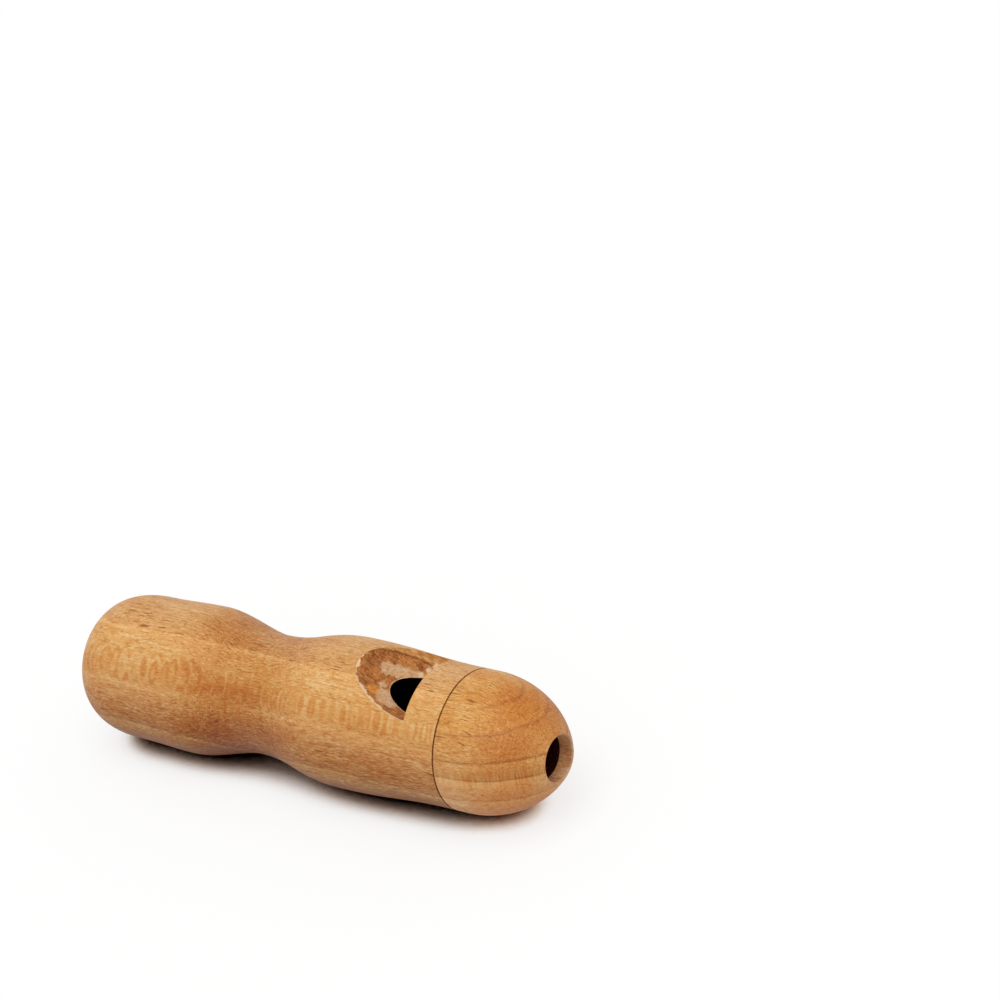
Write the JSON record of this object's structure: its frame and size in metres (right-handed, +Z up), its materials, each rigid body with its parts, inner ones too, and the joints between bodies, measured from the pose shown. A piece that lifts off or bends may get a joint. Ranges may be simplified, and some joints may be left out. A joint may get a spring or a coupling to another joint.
{
  "type": "bird call",
  "caption": "Turned wooden bird call: a waisted, stopped whistle body with a scooped sound window, a fipple block inside, and a domed push-on mouthpiece with a round blow hole.",
  "frame": {"origin": "Centre of the bounding box at its bottom, on the surface the call lies on.", "axes": "+X runs along the turning axis from the tail to the blow hole, and +Z points up through the window."},
  "size_m": [0.1032, 0.0276, 0.0277],
  "materials": {
    "oiled_beech": "oiled beech, satin",
    "bare_beech": "bare sanded beech, matt"
  },
  "bodies": {
    "call": {"body": "oiled_beech", "fipple_block": "bare_beech"},
    "cap": {"mouthpiece": "oiled_beech"}
  },
  "joints": [
    {"name": "mouthpiece_pull", "type": "slide", "parent": "call", "child": "cap", "axis": [1, 0, 0], "range_m": [0, 0.016]}
  ]
}
